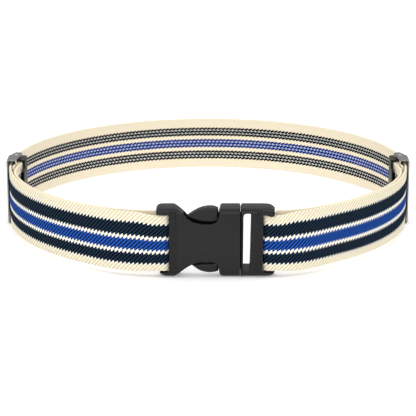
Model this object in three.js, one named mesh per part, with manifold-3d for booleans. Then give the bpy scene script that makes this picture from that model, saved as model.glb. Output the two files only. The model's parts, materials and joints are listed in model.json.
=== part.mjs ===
// Adjustable luggage strap: a standing loop of 50 mm twill webbing, closed by a
// side-release buckle and sized by two metal cam sliders.
//
// Frame: millimetres, +Z up, the strap standing on edge. The buckle is at the
// front (-Y), its latch moves along X, and the sliders sit at the left and right.
// The origin is at the bottom centre of the whole object's box.

import * as THREE from 'three';
import { mergeVertices } from 'three/addons/utils/BufferGeometryUtils.js';
import Module from 'manifold-3d';

const wasm = await Module();
wasm.setup();

// ---------------------------------------------------------------- driving sizes

const WEB_WIDTH = 50;
const WEB_THICKNESS = 2.2;
const LOOP_RADIUS = 177;          // centre line of the running webbing
const LAYER_GAP = 0.5;            // between the running layer and the doubled one
const SEAM_GAP = 0.3;             // between two solids that touch on the real strap
const STRAIGHT_START = 52;        // degrees in front of the side, where the arc ends

const BUCKLE_HEIGHT = 59.4;
const BUCKLE_THICKNESS = 16;
const BUCKLE_FRONT = -172;        // front face, measured from the loop's centre
const FRONT_EDGE_RADIUS = 7;
const BACK_EDGE_RADIUS = 1.5;

const EAR_INNER = 25.6;           // half the opening between a buckle's two ears
const BAR_RADIUS = 2.5;           // the bars that the webbing turns around
const BAR_Y = -165;
const BAR_GAP = 0.2;
const LEFT_BAR_X = 35.6;          // distance of each bar from the loop's centre plane
const RIGHT_BAR_X = 48.8;

const FEMALE_LEFT = -42.2;
const FEMALE_BODY_LEFT = -30.4;
const FEMALE_RIGHT = 26.2;
const SOCKET_LEFT = -22;
const SOCKET_HALF_HEIGHT = 23.4;
const SOCKET_DEPTH = 10.4;

const MALE_LEFT = 26.8;
const MALE_RIGHT = 54.8;
const SLOT_LEFT = 28.6;           // the male half's open slot
const SLOT_RIGHT = 34.5;
const SLOT_HALF_HEIGHT = 24;
const MIDDLE_BAR_RIGHT = 43.6;
const PLUG_LEFT = 14;
const PLUG_CLEARANCE = 0.5;
const TONGUE_LEFT = -16;
const TONGUE_HALF_HEIGHT = 3.4;
const TONGUE_DEPTH = 5;
const ARM_DEPTH = 9.8;
const ARM_ROOM = 19.8;            // height of the plug's core, between the two arms
const ARM_PIVOT = { x: 22, z: 16.5 };

const SHEET = 1.2;                // sheet metal of the sliders
const EAR_Z = 28.4;               // inner face of a slider's ear
const LUG_Z = 26.2;               // inner face of a lever's lug
const PLATE_CLEARANCE = 0.3;
const PLATE_FRONT_U = -13;
const PLATE_BACK_U = 5;
const PIVOT = { q: 2.4, u: 6 };   // q: inwards from the webbing, u: along it, to the back
const PIVOT_RADIUS = 1.2;
const HOLE_RADIUS = 1.5;
const ANCHOR = { q: 5.7, u: 9 };
const ANCHOR_RADIUS = 1.3;
const LEVER_OPENING = 20;         // degrees from closed to fully open
const SEWN_END_U = -24;           // where the sewn end meets the doubled layer
const TOOTH_COUNT = 12;
const TOOTH_WIDTH = 2.6;
const TAB_HALF_HEIGHT = 20;        // the lever's finger plate
const FINGER_Q = 10.4;            // its outer face

const ARC_STEP = 4;               // degrees between points of a long arc
const MIDDLE_START = 62;          // angle from the loop's side where the back's middle begins
const FRONT_JOINT = -9.5;         // where the running layer's front piece begins

// ---------------------------------------------------------------- derived sizes

const HALF_WEB = WEB_WIDTH / 2;
const HALF_THICK = WEB_THICKNESS / 2;
const INNER_FACE = LOOP_RADIUS - HALF_THICK;
const OUTER_FACE = LOOP_RADIUS + HALF_THICK;
const PLATE_Q = -(WEB_THICKNESS + PLATE_CLEARANCE);
const DOUBLED_Q = LAYER_GAP + HALF_THICK;
const WRAP_RADIUS = BAR_RADIUS + BAR_GAP + HALF_THICK;
const HALF_BUCKLE = BUCKLE_HEIGHT / 2;
const BUCKLE_BACK = BUCKLE_FRONT + BUCKLE_THICKNESS;
const BUCKLE_MID = (BUCKLE_FRONT + BUCKLE_BACK) / 2;
const LOOP_CENTRE_Y = -(BUCKLE_FRONT + OUTER_FACE) / 2;
const DEGREE = Math.PI / 180;

// ---------------------------------------------------------------- materials

const material = (color, roughness, metalness) =>
  new THREE.MeshStandardMaterial({ color, roughness, metalness });
const plastic = () => material(0x333436, 0.55, 0);
const steel = () => material(0x6f6f70, 0.35, 0.9);
const brightSteel = () => material(0xd8d8d6, 0.2, 1);
const webbing = () => material(0xeee4cc, 0.95, 0);

// ---------------------------------------------------------------- solids

function toSolid(geometry) {
  const bare = geometry.index ? geometry.clone() : geometry;
  bare.deleteAttribute('normal');
  bare.deleteAttribute('uv');
  const merged = mergeVertices(bare, 1e-5);
  return new wasm.Manifold(new wasm.Mesh({
    numProp: 3,
    vertProperties: new Float32Array(merged.attributes.position.array),
    triVerts: new Uint32Array(merged.index.array),
  }));
}

function toGeometry(solid) {
  const mesh = solid.getMesh();
  const geometry = new THREE.BufferGeometry();
  geometry.setAttribute('position', new THREE.BufferAttribute(mesh.vertProperties, 3));
  geometry.setIndex(new THREE.BufferAttribute(mesh.triVerts, 1));
  geometry.computeVertexNormals();
  return geometry;
}

// A plan outline (x, y) raised from z = bottom to z = top.
function raised(points, bottom, top, holes = []) {
  const shape = new THREE.Shape(points);
  shape.holes = holes.map((hole) => new THREE.Path(hole));
  const geometry = new THREE.ExtrudeGeometry(shape, { depth: top - bottom, bevelEnabled: false });
  return geometry.translate(0, 0, bottom);
}

// A front-view outline (x, z) given depth from y = front to y = back.
function deepened(points, front, back) {
  const shape = new THREE.Shape(points);
  const geometry = new THREE.ExtrudeGeometry(shape, { depth: back - front, bevelEnabled: false });
  return geometry.rotateX(Math.PI / 2).translate(0, back, 0);
}

// A side-view outline (y, z) drawn out from x = left to x = right.
function drawnOut(points, left, right) {
  const shape = new THREE.Shape(points);
  const geometry = new THREE.ExtrudeGeometry(shape, { depth: right - left, bevelEnabled: false });
  const axes = new THREE.Matrix4().makeBasis(
    new THREE.Vector3(0, 1, 0), new THREE.Vector3(0, 0, 1), new THREE.Vector3(1, 0, 0));
  return geometry.applyMatrix4(axes).translate(left, 0, 0);
}

// A box between two corners.
function block(x0, x1, y0, y1, z0, z1) {
  const geometry = new THREE.BoxGeometry(x1 - x0, y1 - y0, z1 - z0);
  return geometry.translate((x0 + x1) / 2, (y0 + y1) / 2, (z0 + z1) / 2);
}

// A round bar standing upright from z = bottom to z = top.
function upright(x, y, radius, bottom, top, sides = 24) {
  const geometry = new THREE.CylinderGeometry(radius, radius, top - bottom, sides);
  return geometry.rotateX(Math.PI / 2).translate(x, y, (bottom + top) / 2);
}

// ---------------------------------------------------------------- outlines

const point = (x, y) => new THREE.Vector2(x, y);

// An arc about (cx, cy), angles in degrees, both ends included.
function arc(cx, cy, radius, from, to, steps) {
  return Array.from({ length: steps + 1 }, (_, i) => {
    const angle = (from + (to - from) * i / steps) * DEGREE;
    return point(cx + radius * Math.cos(angle), cy + radius * Math.sin(angle));
  });
}

const smooth = (points, steps) => new THREE.SplineCurve(points).getPoints(steps);

function bezier(start, startDirection, end, endDirection, steps) {
  const reach = start.distanceTo(end) * 0.38;
  const first = startDirection.clone().multiplyScalar(reach).add(start);
  const second = endDirection.clone().multiplyScalar(-reach).add(end);
  return new THREE.CubicBezierCurve(start, first, second, end).getPoints(steps);
}

// The outline of a strip of even thickness that follows a path.
function strip(path, halfThickness = HALF_THICK) {
  const clean = path.filter((p, i) => i === 0 || p.distanceTo(path[i - 1]) > 1e-3);
  const last = clean.length - 1;
  const normals = clean.map((p, i) => {
    const along = clean[Math.min(i + 1, last)].clone().sub(clean[Math.max(i - 1, 0)]).normalize();
    return point(-along.y, along.x).multiplyScalar(halfThickness);
  });
  const left = clean.map((p, i) => p.clone().add(normals[i]));
  const right = clean.map((p, i) => p.clone().sub(normals[i]));
  return [...left, ...right.reverse()];
}

// Mirrors a plan outline that was drawn for the right-hand side.
const onSide = (side, points) => points.map((p) => point(side * p.x, p.y));

// Slider places: q inwards from the webbing's inner face, u along it to the back.
// Flat metal lies square to the loop's side, and webbing follows the arc.
const flat = (q, u) => point(INNER_FACE - q, u);
const curved = (q, u) => {
  const angle = u / LOOP_RADIUS;
  return point((INNER_FACE - q) * Math.cos(angle), (INNER_FACE - q) * Math.sin(angle));
};

// Rounds the corners of a polygon with short arcs made from quadratic curves.
function rounded(corners, radius, steps = 4) {
  const count = corners.length;
  return corners.flatMap((corner, i) => {
    const before = corners[(i + count - 1) % count].clone().sub(corner);
    const after = corners[(i + 1) % count].clone().sub(corner);
    const cut = Math.min(radius, before.length() * 0.45, after.length() * 0.45);
    const start = before.setLength(cut).add(corner);
    const end = after.setLength(cut).add(corner);
    return new THREE.QuadraticBezierCurve(start, corner, end).getPoints(steps);
  });
}

// ---------------------------------------------------------------- the part

const part = new THREE.Group();
part.position.set(0, LOOP_CENTRE_Y, HALF_BUCKLE);

function add(name, geometry, look) {
  const mesh = new THREE.Mesh(geometry, look);
  mesh.name = name;
  part.add(mesh);
}

// ---------------------------------------------------------------- buckle

const mirroredInZ = (top) => [...top, ...top.map((p) => point(p.x, -p.y)).reverse()];

// The buckle's section across its length: domed front edges, nearly square back ones.
function buckleProfile() {
  const front = BUCKLE_FRONT + FRONT_EDGE_RADIUS;
  const back = BUCKLE_BACK - BACK_EDGE_RADIUS;
  const low = -HALF_BUCKLE;
  const high = HALF_BUCKLE;
  return [
    ...arc(front, low + FRONT_EDGE_RADIUS, FRONT_EDGE_RADIUS, 180, 270, 6),
    ...arc(back, low + BACK_EDGE_RADIUS, BACK_EDGE_RADIUS, 270, 360, 3),
    ...arc(back, high - BACK_EDGE_RADIUS, BACK_EDGE_RADIUS, 0, 90, 3),
    ...arc(front, high - FRONT_EDGE_RADIUS, FRONT_EDGE_RADIUS, 90, 180, 6),
  ];
}

function femaleOutline() {
  const scallop = smooth([
    point(-27.5, HALF_BUCKLE), point(-23.5, 26.8), point(-19.5, 23.2), point(-15, 18.6),
    point(-10, 16.2), point(-4, 15.4), point(2, 15.5), point(6.4, 16.6),
  ], 20);
  return mirroredInZ([
    point(FEMALE_BODY_LEFT, EAR_INNER), point(FEMALE_LEFT, EAR_INNER),
    point(FEMALE_LEFT, EAR_INNER + 0.8), point(FEMALE_LEFT + 4, HALF_BUCKLE),
    ...scallop, point(9.2, 23), point(9.8, HALF_BUCKLE - 1.2), point(11.2, HALF_BUCKLE),
    point(FEMALE_RIGHT, HALF_BUCKLE),
  ]);
}

function femaleBody() {
  const socket = block(SOCKET_LEFT, FEMALE_RIGHT + 1, BUCKLE_MID - SOCKET_DEPTH / 2,
    BUCKLE_MID + SOCKET_DEPTH / 2, -SOCKET_HALF_HEIGHT, SOCKET_HALF_HEIGHT);
  const profile = drawnOut(buckleProfile(), FEMALE_LEFT - 1, FEMALE_RIGHT + 1);
  const outline = deepened(femaleOutline(), BUCKLE_FRONT - 1, BUCKLE_BACK + 1);
  const bar = upright(-LEFT_BAR_X, BAR_Y, BAR_RADIUS, -EAR_INNER - 1, EAR_INNER + 1);
  return toGeometry(toSolid(outline).intersect(toSolid(profile))
    .subtract(toSolid(socket)).add(toSolid(bar)));
}

function maleOutline() {
  const earEnd = smooth([
    point(46.5, HALF_BUCKLE), point(51.3, HALF_BUCKLE - 0.7), point(54, HALF_BUCKLE - 2.1),
    point(MALE_RIGHT, EAR_INNER),
  ], 6);
  return mirroredInZ([
    point(MALE_LEFT, HALF_BUCKLE), ...earEnd, point(MIDDLE_BAR_RIGHT, EAR_INNER),
  ]);
}

// The male half: flange with its open slot and end bar, plug and centre tongue.
function maleBody() {
  const profile = drawnOut(buckleProfile(), MALE_LEFT - 1, MALE_RIGHT + 1);
  const outline = deepened(maleOutline(), BUCKLE_FRONT - 1, BUCKLE_BACK + 1);
  const slot = deepened(rounded([
    point(SLOT_LEFT, -SLOT_HALF_HEIGHT), point(SLOT_RIGHT, -SLOT_HALF_HEIGHT),
    point(SLOT_RIGHT, SLOT_HALF_HEIGHT), point(SLOT_LEFT, SLOT_HALF_HEIGHT),
  ], 1.5), BUCKLE_FRONT - 1, BUCKLE_BACK + 1);
  const plugDepth = SOCKET_DEPTH / 2 - PLUG_CLEARANCE;
  const plugHeight = SOCKET_HALF_HEIGHT - PLUG_CLEARANCE;
  const plug = block(ARM_PIVOT.x + 1.5, MALE_LEFT + 1, BUCKLE_MID - plugDepth,
    BUCKLE_MID + plugDepth, -plugHeight, plugHeight);
  const core = block(PLUG_LEFT, MALE_LEFT, BUCKLE_MID - plugDepth, BUCKLE_MID + plugDepth,
    -ARM_ROOM / 2, ARM_ROOM / 2);
  const tongue = block(TONGUE_LEFT, PLUG_LEFT + 1, BUCKLE_MID - TONGUE_DEPTH / 2,
    BUCKLE_MID + TONGUE_DEPTH / 2, -TONGUE_HALF_HEIGHT, TONGUE_HALF_HEIGHT);
  const bar = upright(RIGHT_BAR_X, BAR_Y, BAR_RADIUS, -EAR_INNER - 1, EAR_INNER + 1);
  return toGeometry(toSolid(outline).intersect(toSolid(profile)).subtract(toSolid(slot))
    .add(toSolid(plug)).add(toSolid(core)).add(toSolid(tongue)).add(toSolid(bar)));
}

// A spring arm: a slim stem from its root, and the bulged head that latches.
function springArm(sign) {
  const root = ARM_PIVOT.x + 1.2;
  const head = smooth([
    point(8.8, 26.2), point(5, 27.2), point(0, 27.4), point(-6, 26.2), point(-12.5, 23),
    point(-18, 18.6), point(-19.5, 16.2),
  ], 14);
  const outline = [
    point(root, 13.8), point(root, 19.2), point(12, 19.6), point(8.8, 20), ...head,
    point(-17, 14.8), point(-8, 14.2), point(6, 14.6), point(14, 14.6),
  ].map((p) => point(p.x, sign * p.y));
  return deepened(outline, BUCKLE_MID - ARM_DEPTH / 2, BUCKLE_MID + ARM_DEPTH / 2);
}

add('female_body', femaleBody(), plastic());
add('male_body', maleBody(), plastic());
add('upper_arm', springArm(1), plastic());
add('lower_arm', springArm(-1), plastic());

// ---------------------------------------------------------------- webbing

// Angles in plan run from the side of the loop (0) to its back centre (90).
const GAP_ANGLE = SEAM_GAP / LOOP_RADIUS / DEGREE;

function loopArc(radius, from, to) {
  return arc(0, 0, radius, from, to, Math.max(2, Math.ceil(Math.abs(to - from) / ARC_STEP)));
}

// The bend in front of the arc, down to the flat stretch beside the buckle.
function frontBend(radius, barX, layerY) {
  const angle = -STRAIGHT_START * DEGREE;
  const start = point(radius * Math.cos(angle), radius * Math.sin(angle));
  const heading = point(Math.sin(angle), -Math.cos(angle));
  return bezier(start, heading, point(barX + 5, layerY), point(-1, 0), 14);
}

// Outer layer: from the slider to the buckle and once round its end bar.
function outerPath(barX) {
  return [
    ...loopArc(LOOP_RADIUS, FRONT_JOINT, -STRAIGHT_START),
    ...frontBend(LOOP_RADIUS, barX, BAR_Y - WRAP_RADIUS),
    ...arc(barX, BAR_Y, WRAP_RADIUS, 270, 90, 14),
    point(barX + 6, BAR_Y + WRAP_RADIUS),
  ];
}

// Inner layer: from behind the end bar back to the slider's sewn end.
function innerPath(barX) {
  const radius = INNER_FACE - DOUBLED_Q;
  const bend = frontBend(radius, barX + 1 + SEAM_GAP, BAR_Y + WRAP_RADIUS).reverse();
  const joining = -50 / LOOP_RADIUS / DEGREE;
  const rise = [curved(2.0, -40), curved(3.0, -31), curved(4.0, SEWN_END_U - SEAM_GAP)];
  return [
    ...bend, ...loopArc(radius, -STRAIGHT_START, joining),
    ...smooth([curved(DOUBLED_Q, -50), ...rise], 8),
  ];
}

// The sewn end: the doubled layer turned round the slider's anchor bar.
function sewnEndPath() {
  const turn = ANCHOR_RADIUS + BAR_GAP + HALF_THICK;
  const inward = ANCHOR.q + turn;
  const outward = ANCHOR.q - turn;
  const leg = smooth([
    curved(4.05, SEWN_END_U), curved(5.8, -15.5), curved(7.4, -7.5), curved(inward - 0.05, 1),
    curved(inward, ANCHOR.u),
  ], 10);
  const around = [-150, -120, -90, -60, -30].map((angle) => {
    const turned = (angle + 180) * DEGREE;
    return curved(ANCHOR.q + turn * Math.cos(turned), ANCHOR.u + turn * Math.sin(turned));
  });
  const back = smooth([
    curved(outward, ANCHOR.u), curved(outward + 0.5, 6), curved(outward + 1.6, 3.2),
    curved(5.65, 0), curved(5.65, -2.2), curved(4.3, -7), curved(2.6, -12), curved(1.8, -17),
    curved(1.7, -22),
  ], 24);
  return [...leg, ...around, ...back];
}

function webStrip(side, path) {
  return raised(onSide(side, strip(path)), -HALF_WEB, HALF_WEB);
}

// ---------------------------------------------------------------- sliders

// Frame: a cover plate outside the webbing, with an ear folded in at each end.
function sliderFrame(side) {
  const plate = raised(onSide(side, [
    flat(PLATE_Q, PLATE_FRONT_U), flat(PLATE_Q, PLATE_BACK_U),
    flat(PLATE_Q - SHEET, PLATE_BACK_U), flat(PLATE_Q - SHEET, PLATE_FRONT_U),
  ]), -EAR_Z - SHEET, EAR_Z + SHEET);
  const earOutline = onSide(side, rounded([
    flat(PLATE_Q - SHEET, -13.5), flat(3, -15), flat(5.4, -11.5), flat(8.8, 12.5),
    flat(6.8, 15.5), flat(2, 16.8), flat(PLATE_Q - SHEET, 3),
  ], 4));
  const hole = (bottom, top) => {
    const centre = flat(PIVOT.q, PIVOT.u);
    return toSolid(upright(side * centre.x, centre.y, HOLE_RADIUS, bottom, top));
  };
  const topEar = toSolid(raised(earOutline, EAR_Z, EAR_Z + SHEET));
  const bottomEar = toSolid(raised(earOutline, -EAR_Z - SHEET, -EAR_Z));
  return toGeometry(toSolid(plate).add(topEar).add(bottomEar)
    .subtract(hole(EAR_Z - 1, EAR_Z + SHEET + 1))
    .subtract(hole(-EAR_Z - SHEET - 1, -EAR_Z + 1)));
}

// Cam lever: two lugs on the pivots, a toothed blade against the webbing and a
// finger plate on the inner side.
function camLever(side) {
  const lugTop = LUG_Z + SHEET;
  const lug = onSide(side, rounded([
    flat(0.5, -1.4), flat(2.4, -2.6), flat(FINGER_Q, -5), flat(FINGER_Q + SHEET, -5),
    flat(FINGER_Q + SHEET, 12), flat(8, 14), flat(2.4, 9.2), flat(0.5, 7.5),
  ], 1.6, 2));
  const blade = raised(onSide(side, [
    flat(0.55, -1.2), flat(1.9, -1.2), flat(1.9, 0.8), flat(0.55, 0.8),
  ]), -LUG_Z - 0.2, LUG_Z + 0.2);
  const tabRoot = raised(onSide(side, [
    flat(FINGER_Q, -4.5), flat(FINGER_Q + SHEET, -4.5), flat(FINGER_Q + SHEET, 11),
    flat(FINGER_Q, 11),
  ]), -LUG_Z - 0.2, LUG_Z + 0.2);
  const tab = raised(onSide(side, [
    flat(FINGER_Q, -13), flat(FINGER_Q + SHEET, -13), flat(FINGER_Q + SHEET, -4),
    flat(FINGER_Q, -4),
  ]), -TAB_HALF_HEIGHT, TAB_HALF_HEIGHT);
  let lever = toSolid(blade).add(toSolid(tabRoot)).add(toSolid(tab))
    .add(toSolid(raised(lug, LUG_Z, lugTop)))
    .add(toSolid(raised(lug, -lugTop, -LUG_Z)));
  const pitch = WEB_WIDTH / TOOTH_COUNT;
  for (let i = 0; i < TOOTH_COUNT; i++) {
    const middle = -HALF_WEB + pitch * (i + 0.5);
    const tooth = raised(onSide(side, [flat(0.2, -0.2), flat(0.9, -0.9), flat(0.9, 0.5)]),
      middle - TOOTH_WIDTH / 2, middle + TOOTH_WIDTH / 2);
    lever = lever.add(toSolid(tooth));
  }
  const centre = flat(PIVOT.q, PIVOT.u);
  const hole = upright(side * centre.x, centre.y, HOLE_RADIUS, -lugTop - 1, lugTop + 1);
  return toGeometry(lever.subtract(toSolid(hole)).subtract(anchorSlot(side, lugTop)));
}

// The curved slot in both lugs that lets the lever open past the anchor bar.
function anchorSlot(side, lugTop) {
  const reach = Math.hypot(ANCHOR.q - PIVOT.q, ANCHOR.u - PIVOT.u);
  const closed = Math.atan2(ANCHOR.u - PIVOT.u, ANCHOR.q - PIVOT.q) / DEGREE;
  const open = closed - LEVER_OPENING;
  const along = arc(PIVOT.q, PIVOT.u, reach, open, closed, 5).map((p) => flat(p.x, p.y));
  const halfWidth = ANCHOR_RADIUS + 0.5;
  const slot = toSolid(raised(onSide(side, strip(along, halfWidth)), -lugTop - 1, lugTop + 1));
  const ends = [along[0], along[along.length - 1]].map((p) =>
    toSolid(upright(side * p.x, p.y, halfWidth, -lugTop - 1, lugTop + 1)));
  return slot.add(ends[0]).add(ends[1]);
}

// A headed pivot pin through an ear and the lug under it.
function pivotPin(side, end) {
  const centre = flat(PIVOT.q, PIVOT.u);
  const profile = [
    point(0, LUG_Z - 0.4), point(PIVOT_RADIUS, LUG_Z - 0.4), point(PIVOT_RADIUS, EAR_Z + SHEET),
    point(0.6, EAR_Z + SHEET + 0.1), point(0, EAR_Z + SHEET + 0.1),
  ];
  const geometry = new THREE.LatheGeometry(profile, 20);
  geometry.rotateX(end * Math.PI / 2);
  return geometry.translate(side * centre.x, centre.y, 0);
}

function anchorBar(side) {
  const centre = curved(ANCHOR.q, ANCHOR.u);
  const end = EAR_Z - SEAM_GAP;
  return upright(side * centre.x, centre.y, ANCHOR_RADIUS, -end, end, 16);
}

const SIDES = [
  { side: -1, name: 'left', barX: LEFT_BAR_X },
  { side: 1, name: 'right', barX: RIGHT_BAR_X },
];

for (const { side, name, barX } of SIDES) {
  add(`${name}_outer_webbing`, webStrip(side, outerPath(barX)), webbing());
  add(`${name}_inner_webbing`, webStrip(side, innerPath(barX)), webbing());
  add(`${name}_back_webbing`,
    webStrip(side, loopArc(LOOP_RADIUS, FRONT_JOINT + GAP_ANGLE, MIDDLE_START)), webbing());
  add(`${name}_sewn_end`, webStrip(side, sewnEndPath()), webbing());
  add(`${name}_slider_frame`, sliderFrame(side), steel());
  add(`${name}_cam_lever`, camLever(side), steel());
  add(`${name}_upper_pivot`, pivotPin(side, 1), brightSteel());
  add(`${name}_lower_pivot`, pivotPin(side, -1), brightSteel());
  add(`${name}_anchor_bar`, anchorBar(side), steel());
}
add('middle_back_webbing', webStrip(1, loopArc(LOOP_RADIUS, MIDDLE_START + GAP_ANGLE,
  180 - MIDDLE_START - GAP_ANGLE)), webbing());

export default part;
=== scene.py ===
"""Looks of the luggage strap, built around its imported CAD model.

Shapes are worked out in millimetres from the loop's centre: x to the right, y to
the back and z up. place() turns them into the row frame's metres.
"""

import json
import math

import bpy
import numpy as np
import openvdb
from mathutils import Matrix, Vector


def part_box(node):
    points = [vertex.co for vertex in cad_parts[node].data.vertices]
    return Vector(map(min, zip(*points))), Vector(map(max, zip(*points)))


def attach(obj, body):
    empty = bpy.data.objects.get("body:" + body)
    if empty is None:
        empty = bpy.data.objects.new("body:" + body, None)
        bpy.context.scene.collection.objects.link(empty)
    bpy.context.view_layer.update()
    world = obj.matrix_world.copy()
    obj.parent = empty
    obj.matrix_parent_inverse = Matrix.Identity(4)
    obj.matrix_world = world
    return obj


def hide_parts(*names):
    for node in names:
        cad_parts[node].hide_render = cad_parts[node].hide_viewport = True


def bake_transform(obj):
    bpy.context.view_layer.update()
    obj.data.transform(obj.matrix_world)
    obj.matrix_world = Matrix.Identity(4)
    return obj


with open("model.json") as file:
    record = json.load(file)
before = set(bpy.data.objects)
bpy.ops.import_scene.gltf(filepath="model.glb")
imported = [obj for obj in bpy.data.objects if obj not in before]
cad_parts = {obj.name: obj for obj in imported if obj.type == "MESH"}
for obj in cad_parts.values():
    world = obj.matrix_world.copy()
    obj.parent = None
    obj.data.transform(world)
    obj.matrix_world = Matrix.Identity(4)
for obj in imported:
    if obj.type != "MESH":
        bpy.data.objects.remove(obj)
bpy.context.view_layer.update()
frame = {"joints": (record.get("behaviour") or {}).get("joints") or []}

# ---- places

JOINTS = {joint["name"]: joint for joint in frame["joints"]}
CENTRE = np.array(JOINTS["left_slider_travel"]["pos_m"])
DEGREE = math.pi / 180


def place(points):
    """Millimetres from the loop's centre, as metres in the row frame."""
    return np.asarray(points, float) * 0.001 + CENTRE


def local_box(node):
    """A CAD node's lowest and highest corners, in millimetres from the loop's centre."""
    low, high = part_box(node)
    return (np.array(low) - CENTRE) * 1000, (np.array(high) - CENTRE) * 1000


FEMALE_LOW, FEMALE_HIGH = local_box("female_body")
MALE_LOW, MALE_HIGH = local_box("male_body")
WEB_HIGH = local_box("middle_back_webbing")[1]
FRAME_LOW, FRAME_HIGH = local_box("right_slider_frame")

# ---- sizes

HALF_WEB = WEB_HIGH[2]
WEB_THICKNESS = 2.2
HALF_THICK = WEB_THICKNESS / 2
OUTER_FACE = WEB_HIGH[1]
LOOP_RADIUS = OUTER_FACE - HALF_THICK
INNER_FACE = LOOP_RADIUS - HALF_THICK
LAYER_GAP = 0.5
DOUBLED_Q = LAYER_GAP + HALF_THICK
STRAIGHT_START = 52

BUCKLE_FRONT = FEMALE_LOW[1]
BUCKLE_BACK = FEMALE_HIGH[1]
BUCKLE_MID = (BUCKLE_FRONT + BUCKLE_BACK) / 2
HALF_BUCKLE = FEMALE_HIGH[2]
FRONT_EDGE_RADIUS = 7
BACK_EDGE_RADIUS = 1.5
EAR_INNER = 25.6
BAR_RADIUS = 2.5
BAR_CLEARANCE = 0.2
BAR_LEAD = 6
BEND_LEAD = 5
BAR_Y = -165
BAR_X = {"left": 35.6, "right": 48.8}
WRAP_RADIUS = BAR_RADIUS + BAR_CLEARANCE + HALF_THICK
FEMALE_BODY_LEFT = -30.4
SOCKET_LEFT = -22
SOCKET_HALF_HEIGHT = 23.4
SOCKET_DEPTH = 10.4
PLUG_LEFT = 14
PLUG_CLEARANCE = 0.5
ARM_DEPTH = 9.8
ARM_ROOM = 19.8
SLOT_HALF_HEIGHT = 24
MIDDLE_BAR_RIGHT = 43.6

SHEET = 1.2
EAR_Z = 28.4
LUG_Z = 26.2
PLATE_Q = -2.5
PIVOT = (2.4, 6)
PIVOT_HOLE = 1.5
ANCHOR = (5.7, 9)
ANCHOR_RADIUS = 1.3
LEVER_OPENING = 20
FINGER_Q = 10.4
TAB_HALF_HEIGHT = 20
SEWN_END_Q, SEWN_END_U = 4.05, -24
JOINING_U = -50
SEAM_U = -4
TOOTH_COUNT = 12

RIB_PITCH = 3.45
RIB_SLOPE = 1.05
RIB_SAMPLES = 7
FACE_RELIEF = 0.3
BACK_RELIEF = 0.1

# The webbing gathers a little where it goes round a bar: by this share of its width,
# starting and ending at these distances from the bar.
NARROWING = 0.065
SAG = 0.9
NARROW_SPAN = {"outer": (24, 7), "inner": (6, 0.5)}

# ---- camera

ELEVATION = 15 * DEGREE
PITCH = 15.70 * DEGREE
DISTANCE = 1.485
LENS = 141.9

camera = bpy.data.objects.new("camera", bpy.data.cameras.new("camera"))
bpy.context.scene.collection.objects.link(camera)
camera.data.lens = LENS
camera.data.sensor_width = 36
camera.data.clip_end = 20
camera.location = Vector(CENTRE) + Vector(
    (0, -DISTANCE * math.cos(ELEVATION), DISTANCE * math.sin(ELEVATION))
)
camera.rotation_euler = (math.pi / 2 - PITCH, 0, 0)
bpy.context.scene.camera = camera

# ---- node arithmetic


def feed(tree, slot, item):
    """Set a node's input to a value, a socket, a colour or a plain number."""
    item = getattr(item, "socket", item)
    if isinstance(item, bpy.types.NodeSocket):
        tree.links.new(item, slot)
    else:
        slot.default_value = (*item, 1) if isinstance(item, tuple) else item


class Value:
    """A number in a material's node tree, with ordinary arithmetic."""

    def __init__(self, tree, socket):
        self.tree = tree
        self.socket = socket

    def apply(self, operation, *others):
        node = self.tree.nodes.new("ShaderNodeMath")
        node.operation = operation
        for slot, item in zip(node.inputs, (self, *others)):
            feed(self.tree, slot, item)
        return Value(self.tree, node.outputs[0])

    def __add__(self, other):
        return self.apply("ADD", other)

    def __sub__(self, other):
        return self.apply("SUBTRACT", other)

    def __mul__(self, other):
        return self.apply("MULTIPLY", other)

    def __truediv__(self, other):
        return self.apply("DIVIDE", other)

    def flipped(self):
        """One less the value."""
        return self * -1 + 1

    def least(self, other):
        return self.apply("MINIMUM", other)

    def most(self, other):
        return self.apply("MAXIMUM", other)

    def size(self):
        return self.apply("ABSOLUTE")

    def fraction(self):
        return self.apply("FRACT")

    def power(self, exponent):
        return self.apply("POWER", exponent)

    def clamped(self):
        return self.most(0).least(1)

    def ramp(self, low, high):
        """0 at low, 1 at high, and straight between them."""
        return ((self - low) / (high - low)).clamped()


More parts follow.
